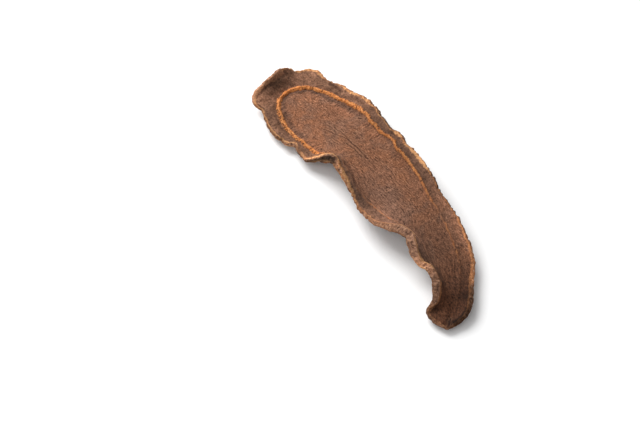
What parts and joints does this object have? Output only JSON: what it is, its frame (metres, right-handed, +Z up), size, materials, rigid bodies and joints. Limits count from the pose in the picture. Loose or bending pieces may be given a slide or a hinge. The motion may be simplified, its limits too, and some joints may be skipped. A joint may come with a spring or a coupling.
{
  "type": "dried fern rhizome slice",
  "caption": "Thin dried slice of a fern rhizome, long, narrow and dished, with a raised woody ring near its waved and curled edge, lying on its belly.",
  "frame": {"origin": "bottom centre of the slice's box, on the surface it rests on", "axes": "+X along the slice towards its narrow end, +Y towards its plainer long edge, +Z up from the surface it rests on"},
  "size_m": [0.1354, 0.0396, 0.0129],
  "materials": {
    "dried_rhizome": "dull, fibrous and dry, with a tan-orange ring and edge"
  },
  "bodies": {
    "root": {"rhizome_slice": "dried_rhizome"}
  },
  "joints": []
}
